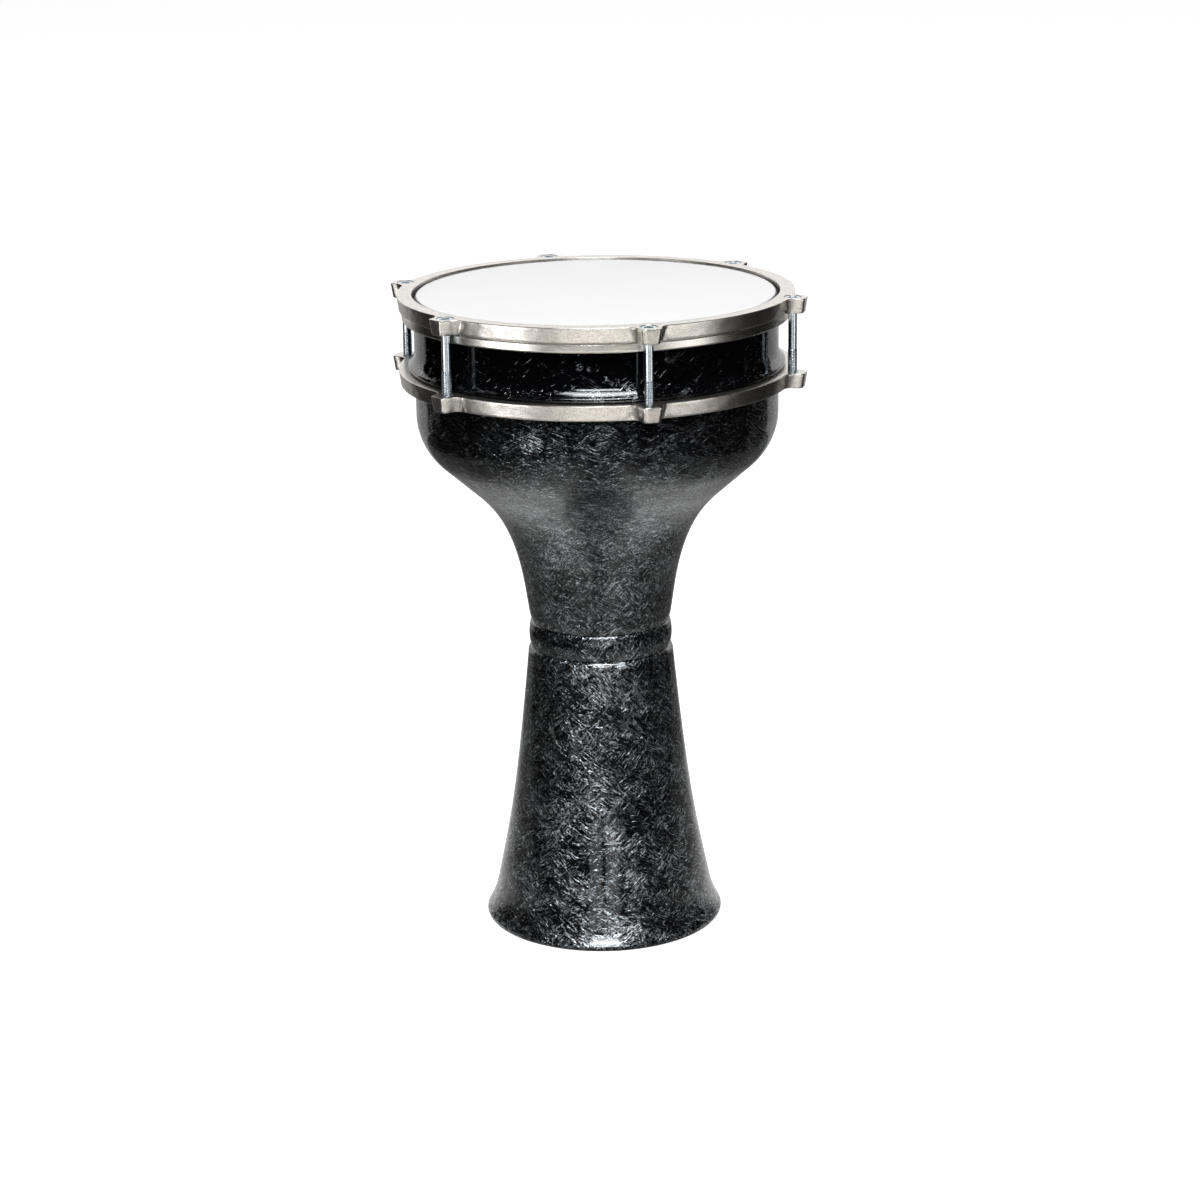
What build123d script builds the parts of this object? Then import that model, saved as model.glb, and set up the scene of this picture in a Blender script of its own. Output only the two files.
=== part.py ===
from build123d import *
import math
import os

os.makedirs("parts", exist_ok=True)

# Goblet drum with a screw-tuned synthetic head. Millimetres, +Z up, z = 0 under the foot,
# the drum's axis on Z, the front towards -Y.

# ---- heights -------------------------------------------------------------------------
HOOP_TOP = 415.3          # top face of the tuning hoop
RING_H = 9.5              # height of both cast rings
HOOP_BOTTOM = HOOP_TOP - RING_H
RING_TOP = 368.4          # top face of the lower ring, under the shell's bead
CREST_Z = 413.9           # bearing edge of the shell
JOINT_Z = 193.0           # the two shells butt here, inside the waist collar
COLLAR_LOW = 184.6
COLLAR_HIGH = 201.4

# ---- shell ---------------------------------------------------------------------------
WALL = 3.0
SHELL_R = 114.4           # straight drum wall
CREST_R = 111.9           # crest of the bearing edge
BEAD_R = 118.6            # bead that carries the lower ring
SPIGOT_R = 43.2           # both shells neck down to this inside the collar
COLLAR_R = 46.1
BORE_R = 40.2             # sound passage at the waist

# ---- cast rings ----------------------------------------------------------------------
RING_R = 124.7            # outer radius at the top face
HOOP_BORE_R = 115.2
RING_BORE_R = 114.8
DRAFT_IN = 1.34           # the outline is this much smaller at the bottom, about 8 degrees
LUGS = 6
LUG_START = -90.0 + 14.2  # polar angle of the first lug
LUG_TIP_R = 134.5
LUG_TIP_HALF = 6.9        # half width of a lug just behind its nose
LUG_ROOT_HALF = 12.0      # half width where its flare leaves the ring
LUG_NOSE_R = 3.0          # rounding of the nose's corners
ROOT_DRAFT = 1.9          # a lug narrows faster than the outline: at its root
SIDE_DRAFT = 0.75         # and behind its nose

# ---- tension screws, M6 x 50 socket head cap screws ------------------------------------
SCREW_PCD_R = 125.7
HEAD_R = 5.0
HEAD_H = 6.0
HEX_AF = 5.0
HEX_DEPTH = 3.0
SHANK_R = 2.68
THREAD_R = 3.0
SCREW_L = 50.0
THREAD_L = 24.0
HEAD_SEAT_Z = 409.1       # underside of the head, on the floor of the counterbore
CBORE_R = 5.4
CLEAR_R = 3.3
TAP_R = 3.05              # tapped hole, drawn plain with a running clearance

# ---- head ----------------------------------------------------------------------------
FILM_T = 0.25
FILM_GAP = 0.03
FLESH_OUT_R = 121.7
FLESH_IN_R = 115.6
FLESH_LOW = 399.4
FLESH_WALL = 1.2


def inside(r, z, slope, wall=WALL):
    """Point of the inner wall across from (r, z), where the outline widens by slope per mm of height."""
    a = math.atan(slope)
    return (r - wall * math.cos(a), z + wall * math.sin(a))


# Bowl outline from the collar up: radius, height, widening per millimetre of height
BOWL = [
    (45.9, 208.0, 0.15),
    (49.3, 230.0, 0.19),
    (57.2, 258.0, 0.41),
    (65.75, 274.0, 0.70),
    (80.3, 290.0, 1.12),
]
SHOULDER_R = 41.4
SHOULDER_Z = 338.8
SHOULDER_TURN = math.atan(BOWL[-1][2])

# Foot outline from the collar down
FOOT = [
    (46.9, 179.5, -0.10),
    (53.3, 120.0, -0.13),
    (62.2, 60.0, -0.19),
    (68.75, 28.0, -0.24),
    (73.1, 12.0, -0.41),
]


def shoulder(wall):
    """Start, middle and end of the arc from the bowl's flank up to the straight wall."""
    cr = SHELL_R - SHOULDER_R
    r = SHOULDER_R - wall
    pts = []
    for share in (1.0, 0.5, 0.0):
        a = SHOULDER_TURN * share
        pts.append((cr + r * math.cos(a), SHOULDER_Z - r * math.sin(a)))
    return pts


# ---- bowl shell: spun bowl, straight wall, bead and bearing edge ------------------------
with BuildPart() as bowl_shell:
    with BuildSketch(Plane.XZ):
        with BuildLine():
            out = shoulder(0.0)
            inn = shoulder(WALL)
            # outer side, upwards
            Line((SPIGOT_R, JOINT_Z), (SPIGOT_R, COLLAR_HIGH + 0.1))
            Line((SPIGOT_R, COLLAR_HIGH + 0.1), (44.35, COLLAR_HIGH + 0.5))
            ThreePointArc((44.35, COLLAR_HIGH + 0.5), (45.1, 204.2), BOWL[0][:2])
            Spline(
                [p[:2] for p in BOWL],
                tangents=[(BOWL[0][2], 1.0), (BOWL[-1][2], 1.0)],
            )
            Line(BOWL[-1][:2], out[0])
            ThreePointArc(*out)
            Line(out[2], (SHELL_R, RING_TOP))
            Line((SHELL_R, RING_TOP), (117.0, RING_TOP))
            ThreePointArc((117.0, RING_TOP), (118.2, 369.2), (BEAD_R, 370.8))
            Line((BEAD_R, 370.8), (118.3, 371.6))
            ThreePointArc((118.3, 371.6), (115.5, 375.0), (SHELL_R, 379.4))
            Line((SHELL_R, 379.4), (SHELL_R, 406.5))
            ThreePointArc((SHELL_R, 406.5), (113.75, 411.3), (CREST_R, CREST_Z))
            # inner side, downwards
            ThreePointArc((CREST_R, CREST_Z), (111.55, 413.72), (111.4, 413.3))
            Line((111.4, 413.3), inn[2])
            ThreePointArc(inn[2], inn[1], inn[0])
            flank_low = inside(*BOWL[-1])
            Line(inn[0], flank_low)
            Spline(
                [flank_low, *[inside(*p) for p in BOWL[3:0:-1]], (BORE_R + 1.6, 207.0)],
                tangents=[(-BOWL[-1][2], -1.0), (-0.14, -1.0)],
            )
            Line((BORE_R + 1.6, 207.0), (BORE_R, JOINT_Z))
            Line((BORE_R, JOINT_Z), (SPIGOT_R, JOINT_Z))
        make_face()
    revolve(axis=Axis.Z)
bowl_shell.part.label = "bowl_shell"

# ---- foot shell: flared foot with a flat rim to stand on --------------------------------
with BuildPart() as foot_shell:
    with BuildSketch(Plane.XZ):
        with BuildLine():
            # outer side, downwards
            Line((SPIGOT_R, JOINT_Z), (SPIGOT_R, COLLAR_LOW - 0.1))
            Line((SPIGOT_R, COLLAR_LOW - 0.1), (44.9, COLLAR_LOW - 0.5))
            ThreePointArc((44.9, COLLAR_LOW - 0.5), (46.25, 182.4), FOOT[0][:2])
            Spline(
                [p[:2] for p in FOOT],
                tangents=[(-FOOT[0][2], -1.0), (-FOOT[-1][2], -1.0)],
            )
            # rolled rim
            ThreePointArc(FOOT[-1][:2], (74.9, 8.0), (76.9, 4.2))
            ThreePointArc((76.9, 4.2), (77.2, 1.6), (74.9, 0.0))
            Line((74.9, 0.0), (71.2, 0.0))
            ThreePointArc((71.2, 0.0), (70.2, 0.5), (69.9, 1.6))
            # inner side, upwards
            Line((69.9, 1.6), (69.9, 12.0))
            Spline(
                [(69.9, 12.0), inside(*FOOT[2]), inside(*FOOT[1]), (BORE_R + 2.6, 181.0)],
                tangents=[(-0.36, 1.0), (-0.15, 1.0)],
            )
            Line((BORE_R + 2.6, 181.0), (BORE_R, 186.0))
            Line((BORE_R, 186.0), (BORE_R, JOINT_Z))
            Line((BORE_R, JOINT_Z), (SPIGOT_R, JOINT_Z))
        make_face()
    revolve(axis=Axis.Z)
foot_shell.part.label = "foot_shell"

# ---- waist collar: crowned sleeve over the joint, a groove shows above and below it ------
with BuildPart() as waist_collar:
    with BuildSketch(Plane.XZ):
        with BuildLine():
            Line((SPIGOT_R, COLLAR_LOW), (44.9, COLLAR_LOW))
            Line((44.9, COLLAR_LOW), (45.35, COLLAR_LOW + 1.0))
            ThreePointArc((45.35, COLLAR_LOW + 1.0), (COLLAR_R, 192.0), (45.2, COLLAR_HIGH - 1.2))
            Line((45.2, COLLAR_HIGH - 1.2), (44.6, COLLAR_HIGH))
            Line((44.6, COLLAR_HIGH), (SPIGOT_R, COLLAR_HIGH))
            Line((SPIGOT_R, COLLAR_HIGH), (SPIGOT_R, COLLAR_LOW))
        make_face()
    revolve(axis=Axis.Z)
waist_collar.part.label = "waist_collar"


def cast_outline(inset):
    """Outline of both cast rings, moved in by inset: a disc with six lugs that flare out of it."""
    ring_r = RING_R - inset
    tip_r = LUG_TIP_R - inset
    flare = LUG_ROOT_HALF - ROOT_DRAFT * inset
    half = LUG_TIP_HALF - SIDE_DRAFT * inset
    root = math.sqrt(ring_r**2 - flare**2)
    with BuildSketch() as lug:
        with BuildLine():
            Line((ring_r - 5.0, -flare), (root, -flare))
            ThreePointArc((root, -flare), (root + 2.3, 3.2 - flare), (tip_r - 4.4, -half))
            Line((tip_r - 4.4, -half), (tip_r - LUG_NOSE_R, 0.3 - half))
            RadiusArc((tip_r - LUG_NOSE_R, 0.3 - half), (tip_r, LUG_NOSE_R + 0.3 - half), LUG_NOSE_R + 0.2)
            Line((tip_r, LUG_NOSE_R + 0.3 - half), (tip_r, half - 0.3 - LUG_NOSE_R))
            RadiusArc((tip_r, half - 0.3 - LUG_NOSE_R), (tip_r - LUG_NOSE_R, half - 0.3), LUG_NOSE_R + 0.2)
            Line((tip_r - LUG_NOSE_R, half - 0.3), (tip_r - 4.4, half))
            ThreePointArc((tip_r - 4.4, half), (root + 2.3, flare - 3.2), (root, flare))
            Line((root, flare), (ring_r - 5.0, flare))
            Line((ring_r - 5.0, flare), (ring_r - 5.0, -flare))
        make_face()
    with BuildSketch() as outline:
        Circle(ring_r)
        with PolarLocations(0, LUGS, start_angle=LUG_START):
            add(lug.sketch)
    return outline.sketch


# ---- counter hoop: cast tuning hoop with six counterbored lugs --------------------------
with BuildPart() as counter_hoop:
    with BuildSketch(Plane.XY.offset(HOOP_TOP)):
        add(cast_outline(0.0))
    with BuildSketch(Plane.XY.offset(HOOP_TOP - RING_H)):
        add(cast_outline(DRAFT_IN))
    loft(ruled=True)
    with BuildSketch(Plane.XY.offset(HOOP_TOP)):
        Circle(HOOP_BORE_R)
    extrude(amount=-RING_H - 1.0, mode=Mode.SUBTRACT)
    with Locations(Plane.XY.offset(HOOP_TOP)):
        with PolarLocations(SCREW_PCD_R, LUGS, start_angle=LUG_START):
            CounterBoreHole(CLEAR_R, CBORE_R, HOOP_TOP - HEAD_SEAT_Z, depth=RING_H + 2.0)
counter_hoop.part.label = "counter_hoop"

# ---- lower ring: the same casting, six tapped lugs --------------------------------------
with BuildPart() as lower_ring:
    with BuildSketch(Plane.XY.offset(RING_TOP)):
        add(cast_outline(0.0))
    with BuildSketch(Plane.XY.offset(RING_TOP - RING_H)):
        add(cast_outline(DRAFT_IN))
    loft(ruled=True)
    with BuildSketch(Plane.XY.offset(RING_TOP)):
        Circle(RING_BORE_R)
    extrude(amount=-RING_H - 1.0, mode=Mode.SUBTRACT)
    with Locations(Plane.XY.offset(RING_TOP)):
        with PolarLocations(SCREW_PCD_R, LUGS, start_angle=LUG_START):
            Hole(TAP_R, depth=RING_H + 2.0)
lower_ring.part.label = "lower_ring"

# ---- head hoop: channel that holds the edge of the film ---------------------------------
with BuildPart() as head_hoop:
    with BuildSketch(Plane.XZ):
        with BuildLine():
            # outside
            ThreePointArc(
                (FLESH_OUT_R - 0.9, HOOP_BOTTOM),
                (FLESH_OUT_R - 0.264, HOOP_BOTTOM - 0.264),
                (FLESH_OUT_R, HOOP_BOTTOM - 0.9),
            )
            Line((FLESH_OUT_R, HOOP_BOTTOM - 0.9), (FLESH_OUT_R, FLESH_LOW + 1.2))
            ThreePointArc(
                (FLESH_OUT_R, FLESH_LOW + 1.2),
                (FLESH_OUT_R - 0.35, FLESH_LOW + 0.35),
                (FLESH_OUT_R - 1.2, FLESH_LOW),
            )
            Line((FLESH_OUT_R - 1.2, FLESH_LOW), (FLESH_IN_R + 1.0, FLESH_LOW))
            ThreePointArc(
                (FLESH_IN_R + 1.0, FLESH_LOW),
                (FLESH_IN_R + 0.3, FLESH_LOW + 0.3),
                (FLESH_IN_R, FLESH_LOW + 1.0),
            )
            # inner lip, lower than the outer one to let the film out
            Line((FLESH_IN_R, FLESH_LOW + 1.0), (FLESH_IN_R, 404.6))
            Line((FLESH_IN_R, 404.6), (FLESH_IN_R + FLESH_WALL, 404.6))
            # channel
            Line((FLESH_IN_R + FLESH_WALL, 404.6), (FLESH_IN_R + FLESH_WALL, FLESH_LOW + FLESH_WALL))
            Line(
                (FLESH_IN_R + FLESH_WALL, FLESH_LOW + FLESH_WALL),
                (FLESH_OUT_R - FLESH_WALL, FLESH_LOW + FLESH_WALL),
            )
            Line((FLESH_OUT_R - FLESH_WALL, FLESH_LOW + FLESH_WALL), (FLESH_OUT_R - FLESH_WALL, HOOP_BOTTOM))
            Line((FLESH_OUT_R - FLESH_WALL, HOOP_BOTTOM), (FLESH_OUT_R - 0.9, HOOP_BOTTOM))
        make_face()
    revolve(axis=Axis.Z)
head_hoop.part.label = "head_hoop"

# ---- resin insert: locks the film's skirt against the channel's inner wall ---------------
with BuildPart() as resin_insert:
    with BuildSketch(Plane.XZ):
        with Locations((FLESH_IN_R + FLESH_WALL + 0.35, FLESH_LOW + FLESH_WALL)):
            Rectangle(
                FLESH_OUT_R - FLESH_IN_R - 2 * FLESH_WALL - 0.35,
                404.2 - FLESH_LOW - FLESH_WALL,
                align=(Align.MIN, Align.MIN),
            )
    revolve(axis=Axis.Z)
resin_insert.part.label = "resin_insert"

# ---- head film: playing surface, collar over the bearing edge, skirt in the channel -----
with BuildPart() as head_film:
    with BuildSketch(Plane.XZ):
        with BuildLine():
            g = FILM_GAP
            t = FILM_GAP + FILM_T
            skirt_r = FLESH_IN_R + FLESH_WALL
            # lower side, outwards and down
            Line((0.0, CREST_Z + g), (CREST_R, CREST_Z + g))
            ThreePointArc((CREST_R, CREST_Z + g), (113.75 + g, 411.3 + g), (SHELL_R + g, 406.5))
            Line((SHELL_R + g, 406.5), (SHELL_R + g, 405.4))
            ThreePointArc((SHELL_R + g, 405.4), (114.65, 404.87), (115.2, 404.65))
            Line((115.2, 404.65), (skirt_r + 0.05, 404.65))
            Line((skirt_r + 0.05, 404.65), (skirt_r + 0.05, 401.4))
            Line((skirt_r + 0.05, 401.4), (skirt_r + 0.3, 401.4))
            # upper side, back up
            Line((skirt_r + 0.3, 401.4), (skirt_r + 0.3, 404.9))
            Line((skirt_r + 0.3, 404.9), (115.2, 404.9))
            ThreePointArc((115.2, 404.9), (114.83, 405.05), (SHELL_R + t, 405.4))
            Line((SHELL_R + t, 405.4), (SHELL_R + t, 406.5))
            ThreePointArc((SHELL_R + t, 406.5), (113.75 + t, 411.3 + t), (CREST_R, CREST_Z + t))
            Line((CREST_R, CREST_Z + t), (0.0, CREST_Z + t))
            Line((0.0, CREST_Z + t), (0.0, CREST_Z + g))
        make_face()
    revolve(axis=Axis.Z)
head_film.part.label = "head_film"


def make_screw(index):
    """One socket head cap screw, head up, in lug number index."""
    a = math.radians(LUG_START + index * 360.0 / LUGS)
    spot = Plane((SCREW_PCD_R * math.cos(a), SCREW_PCD_R * math.sin(a), HEAD_SEAT_Z))
    tip = -SCREW_L
    thread_top = tip + THREAD_L
    with BuildPart(spot) as screw:
        with BuildSketch(spot):
            Circle(HEAD_R)
        extrude(amount=HEAD_H)
        chamfer(screw.edges().group_by(Axis.Z)[-1], 0.5)
        with BuildSketch(spot.offset(HEAD_H)):
            RegularPolygon(HEX_AF / 2, 6, major_radius=False)
        extrude(amount=-HEX_DEPTH, mode=Mode.SUBTRACT)
        with BuildSketch(spot):
            Circle(SHANK_R)
        extrude(amount=thread_top)
        with BuildSketch(spot.offset(thread_top)):
            Circle(THREAD_R)
        extrude(amount=-THREAD_L)
        chamfer(screw.edges().group_by(Axis.Z)[0], 0.7)
    return screw


# ---- write everything -----------------------------------------------------------------
pieces = [
    bowl_shell,
    foot_shell,
    waist_collar,
    counter_hoop,
    lower_ring,
    head_hoop,
    resin_insert,
    head_film,
]
for piece in pieces:
    export_step(piece.part, f"parts/{piece.part.label}.step")

for n in range(LUGS):
    tension_screw = make_screw(n)
    tension_screw.part.label = f"tension_screw_{n + 1}"
    export_step(tension_screw.part, f"parts/tension_screw_{n + 1}.step")
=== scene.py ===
import math

import bmesh
import bpy
import numpy as np
from mathutils import Matrix, Vector, noise


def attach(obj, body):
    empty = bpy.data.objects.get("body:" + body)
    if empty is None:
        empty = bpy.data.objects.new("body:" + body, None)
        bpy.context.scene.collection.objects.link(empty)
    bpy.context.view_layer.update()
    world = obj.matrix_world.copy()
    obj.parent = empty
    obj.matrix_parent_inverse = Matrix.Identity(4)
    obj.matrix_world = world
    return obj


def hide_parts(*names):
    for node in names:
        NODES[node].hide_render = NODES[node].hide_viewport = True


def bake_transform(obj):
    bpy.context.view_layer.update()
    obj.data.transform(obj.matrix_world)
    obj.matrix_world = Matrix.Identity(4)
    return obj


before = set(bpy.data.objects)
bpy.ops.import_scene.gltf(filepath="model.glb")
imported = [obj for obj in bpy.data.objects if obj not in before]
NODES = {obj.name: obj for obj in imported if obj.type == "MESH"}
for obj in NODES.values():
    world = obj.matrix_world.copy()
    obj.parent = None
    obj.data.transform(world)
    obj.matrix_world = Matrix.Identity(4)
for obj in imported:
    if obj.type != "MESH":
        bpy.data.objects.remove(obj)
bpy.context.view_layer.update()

MM = 0.001
LUGS = 6
LUG_START = math.radians(-90.0 + 14.2)  # the first lug, a little right of the front
SCREW_PCD_R = 125.7  # the screws' circle
HEAD_SEAT = 409.1  # height of the counterbores' floors
ON_AXIS = 1e-4  # a lathe point nearer to the axis than this, in mm, is one vertex


# ---------------------------------------------------------------- mesh helpers
def arc3(a, b, c, n=8):
    """Points of the arc from a through b to c."""
    (ax, ay), (bx, by), (cx, cy) = a, b, c
    d = 2 * (ax * (by - cy) + bx * (cy - ay) + cx * (ay - by))
    ux = ((ax**2 + ay**2) * (by - cy) + (bx**2 + by**2) * (cy - ay) + (cx**2 + cy**2) * (ay - by)) / d
    uy = ((ax**2 + ay**2) * (cx - bx) + (bx**2 + by**2) * (ax - cx) + (cx**2 + cy**2) * (bx - ax)) / d
    r = math.hypot(ax - ux, ay - uy)
    t0, t1, t2 = (math.atan2(y - uy, x - ux) for x, y in (a, b, c))
    full = 2 * math.pi
    turn = (t2 - t0) % full
    if (t1 - t0) % full > turn:
        turn -= full
    steps = [t0 + turn * k / n for k in range(n + 1)]
    return [(ux + r * math.cos(t), uy + r * math.sin(t)) for t in steps]


def spline(points, first, last, step=2.0):
    """Smooth curve through points, with the given directions at its ends, sampled about every step mm."""
    p = np.array(points, float)
    u = np.concatenate([[0], np.cumsum(np.linalg.norm(np.diff(p, axis=0), axis=1))])
    first = np.array(first, float) / np.linalg.norm(first)
    last = np.array(last, float) / np.linalg.norm(last)
    n, h = len(p), np.diff(u)
    a, rhs = np.zeros((n, n)), np.zeros((n, 2))
    a[0, 0] = a[-1, -1] = 1
    rhs[0], rhs[-1] = first, last
    for i in range(1, n - 1):
        a[i, i - 1], a[i, i], a[i, i + 1] = h[i], 2 * (h[i - 1] + h[i]), h[i - 1]
        rhs[i] = 3 * (h[i] / h[i - 1] * (p[i] - p[i - 1]) + h[i - 1] / h[i] * (p[i + 1] - p[i]))
    m = np.linalg.solve(a, rhs)
    out = []
    for i in range(n - 1):
        k = max(2, int(round(h[i] / step)))
        for t in np.arange(k) / k:
            out.append(
                (2 * t**3 - 3 * t**2 + 1) * p[i] + (t**3 - 2 * t**2 + t) * h[i] * m[i]
                + (3 * t**2 - 2 * t**3) * p[i + 1] + (t**3 - t**2) * h[i] * m[i + 1]
            )
    out.append(p[-1])
    return [tuple(q) for q in out]


def rows(a, b, step=2.5):
    """Evenly spaced points from a to b, about step mm apart."""
    n = max(1, int(round(math.hypot(b[0] - a[0], b[1] - a[1]) / step)))
    return [(a[0] + (b[0] - a[0]) * k / n, a[1] + (b[1] - a[1]) * k / n) for k in range(n + 1)]


def path(*runs):
    """One list of points from several runs that follow each other."""
    out = []
    for run in runs:
        for q in run:
            if not out or math.hypot(q[0] - out[-1][0], q[1] - out[-1][1]) > 1e-5:
                out.append(tuple(q))
    return out


def new_object(name, mesh, sharp):
    """An object that holds mesh, smooth except along edges sharper than the angle."""
    for p in mesh.polygons:
        p.use_smooth = True
    mesh.set_sharp_from_angle(angle=math.radians(sharp))
    ob = bpy.data.objects.new(name, mesh)
    bpy.context.scene.collection.objects.link(ob)
    return ob


def outward_mesh(name, verts, faces, material_numbers=None):
    """A closed mesh whose faces all look outwards."""
    mesh = bpy.data.meshes.new(name)
    mesh.from_pydata(verts, [], faces)
    if material_numbers:
        mesh.polygons.foreach_set("material_index", material_numbers)
    mesh.update()
    bm = bmesh.new()
    bm.from_mesh(mesh)
    bmesh.ops.recalc_face_normals(bm, faces=bm.faces)
    bm.to_mesh(mesh)
    bm.free()
    return mesh


def lathe(name, profile, segments, closed=False, slots=None, sharp=30.0):
    """Revolves points (r, z) in mm about Z. slots gives a material number for each run between points."""
    verts, rings = [], []
    for r, z in profile:
        if r < ON_AXIS:
            rings.append([len(verts)])
            verts.append((0.0, 0.0, z * MM))
            continue
        rings.append(list(range(len(verts), len(verts) + segments)))
        for k in range(segments):
            a = 2 * math.pi * k / segments
            verts.append((r * math.cos(a) * MM, r * math.sin(a) * MM, z * MM))
    faces, mats = [], []
    pairs = list(zip(range(len(rings) - 1), range(1, len(rings))))
    if closed:
        pairs.append((len(rings) - 1, 0))
    for i, j in pairs:
        a, b = rings[i], rings[j]
        for k in range(segments):
            k2 = (k + 1) % segments
            if len(a) == 1:
                f = (a[0], b[k2], b[k])
            elif len(b) == 1:
                f = (a[k], a[k2], b[0])
            else:
                f = (a[k], a[k2], b[k2], b[k])
            faces.append(f)
            mats.append(slots[i] if slots else 0)
    return new_object(name, outward_mesh(name, verts, faces, mats), sharp)


# ---------------------------------------------------------------- shader helpers
class Tree:
    """Short names for building one material's nodes."""

    def __init__(self, name):
        self.mat = bpy.data.materials.new(name)
        self.mat.use_nodes = True
        self.nodes = self.mat.node_tree.nodes
        self.links = self.mat.node_tree.links
        self.bsdf = next(n for n in self.nodes if n.type == "BSDF_PRINCIPLED")
        self.place = self.node("ShaderNodeTexCoord").outputs["Object"]

    def place_mm(self):
        return self.vec("SCALE", self.place, 1000.0)

    def node(self, kind, **settings):
        n = self.nodes.new(kind)
        for k, v in settings.items():
            setattr(n, k, v)
        return n

    def put(self, socket, value):
        if isinstance(value, bpy.types.NodeSocket):
            self.links.new(value, socket)
        else:
            socket.default_value = value

    def math(self, op, *args, clamp=False):
        n = self.node("ShaderNodeMath", operation=op, use_clamp=clamp)
        for i, a in enumerate(args):
            self.put(n.inputs[i], a)
        return n.outputs[0]

    def vec(self, op, *args):
        n = self.node("ShaderNodeVectorMath", operation=op)
        for i, a in enumerate(args):
            if op == "SCALE" and i == 1:
                self.put(n.inputs["Scale"], a)
            else:
                self.put(n.inputs[i], a)
        return n.outputs["Value"] if op in ("DOT_PRODUCT", "LENGTH", "DISTANCE") else n.outputs["Vector"]

    def xyz(self, v):
        n = self.node("ShaderNodeSeparateXYZ")
        self.put(n.inputs[0], v)
        return n.outputs

    def join(self, x, y, z):
        n = self.node("ShaderNodeCombineXYZ")
        for i, a in enumerate((x, y, z)):
            self.put(n.inputs[i], a)
        return n.outputs[0]

    def noise(self, v, scale, detail=2.0, rough=0.5, distort=0.0, color=False):
        n = self.node("ShaderNodeTexNoise", noise_dimensions="3D")
        self.put(n.inputs["Vector"], v)
        for k, a in (("Scale", scale), ("Detail", detail), ("Roughness", rough), ("Distortion", distort)):
            self.put(n.inputs[k], a)
        return n.outputs["Color" if color else "Fac"]

    def ramp(self, v, lo, hi, out_lo=0.0, out_hi=1.0, smooth=True):
        n = self.node("ShaderNodeMapRange", interpolation_type="SMOOTHSTEP" if smooth else "LINEAR")
        for i, a in enumerate((v, lo, hi, out_lo, out_hi)):
            self.put(n.inputs[i], a)
        return n.outputs[0]

    def curve(self, v, points):
        """Piecewise linear function of v: points of (v, value), v from 0 to 1."""
        n = self.node("ShaderNodeFloatCurve")
        c = n.mapping.curves[0]
        for i, (x, y) in enumerate(points):
            if i < 2:
                c.points[i].location = (x, y)
            else:
                c.points.new(x, y)
        for p in c.points:
            p.handle_type = "VECTOR"
        n.mapping.update()
        self.put(n.inputs["Value"], v)
        return n.outputs[0]

    def mix(self, f, a, b):
        n = self.node("ShaderNodeMix", data_type="RGBA")
        self.put(n.inputs["Factor"], f)
        self.put(n.inputs[6], a)
        self.put(n.inputs[7], b)
        return n.outputs[2]

    def pick(self, f, a, b):
        """a where f is 0 and b where it is 1, for numbers."""
        rest = self.math("SUBTRACT", 1.0, f)
        return self.math("ADD", self.math("MULTIPLY", a, rest), self.math("MULTIPLY", b, f))

    def bump(self, height, strength, distance):
        n = self.node("ShaderNodeBump")
        self.put(n.inputs["Strength"], strength)
        self.put(n.inputs["Distance"], distance)
        self.put(n.inputs["Height"], height)
        return n.outputs[0]

    def set(self, **values):
        for k, v in values.items():
            self.put(self.bsdf.inputs[k.replace("_", " ")], v)


# ---------------------------------------------------------------- lacquer
LACQUER_SPAN = 430.0  # mm of height that a share curve covers


def drawn(t, p, wave, turn, length, width, detail=2.0):
    """Noise drawn out into strokes of about length by width mm, along helices round Z.

    turn is the helix angle in radians per mm of height; None draws level strokes.
    """
    q = t.vec("ADD", p, wave)
    if turn is None:
        return t.noise(t.vec("DIVIDE", q, (length, length, width)), 1.0, detail, 0.55)
    r = t.node("ShaderNodeVectorRotate", rotation_type="Z_AXIS")
    t.put(r.inputs["Vector"], q)
    t.put(r.inputs["Angle"], t.math("MULTIPLY", t.xyz(q)[2], turn))
    return t.noise(t.vec("DIVIDE", r.outputs[0], (width, width, length)), 1.0, detail, 0.55)


def foil_density(t, p, patch, share):
    """How densely the silver lies, 0 to 1: the share for this height, stirred by soft patches."""
    base = t.curve(t.math("DIVIDE", t.xyz(p)[2], LACQUER_SPAN), share)
    dense = t.math("ADD", base, t.math("MULTIPLY", t.math("SUBTRACT", patch, 0.5), 0.75))
    return t.math("MAXIMUM", t.math("MINIMUM", dense, 1.0), 0.0)


def foil_height(t, p, wander, zone, fine):
    """The crumpled foil's relief: short creases, turned differently from zone to zone, and long ones."""
    wave = t.vec("SCALE", wander, 3.2)
    slow = t.ramp(zone[0], 0.46, 0.54)
    side = t.ramp(zone[1], 0.47, 0.53)
    short = t.pick(
        slow,
        t.pick(side, drawn(t, p, wave, None, 8.0, 1.05), drawn(t, p, wave, 0.034, 4.0, 1.9)),
        t.pick(side, drawn(t, p, wave, -0.030, 4.2, 1.75), drawn(t, p, wave, 0.014, 7.0, 1.25)),
    )
    long = t.pick(
        t.ramp(zone[2], 0.48, 0.52),
        drawn(t, p, wave, 0.024, 9.0, 1.35),
        drawn(t, p, wave, -0.018, 10.0, 1.25),
    )
    height = t.math("MAXIMUM", short, t.math("SUBTRACT", long, 0.01))
    return t.math("ADD", height, t.math("MULTIPLY", t.math("SUBTRACT", fine, 0.5), 0.16))


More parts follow.
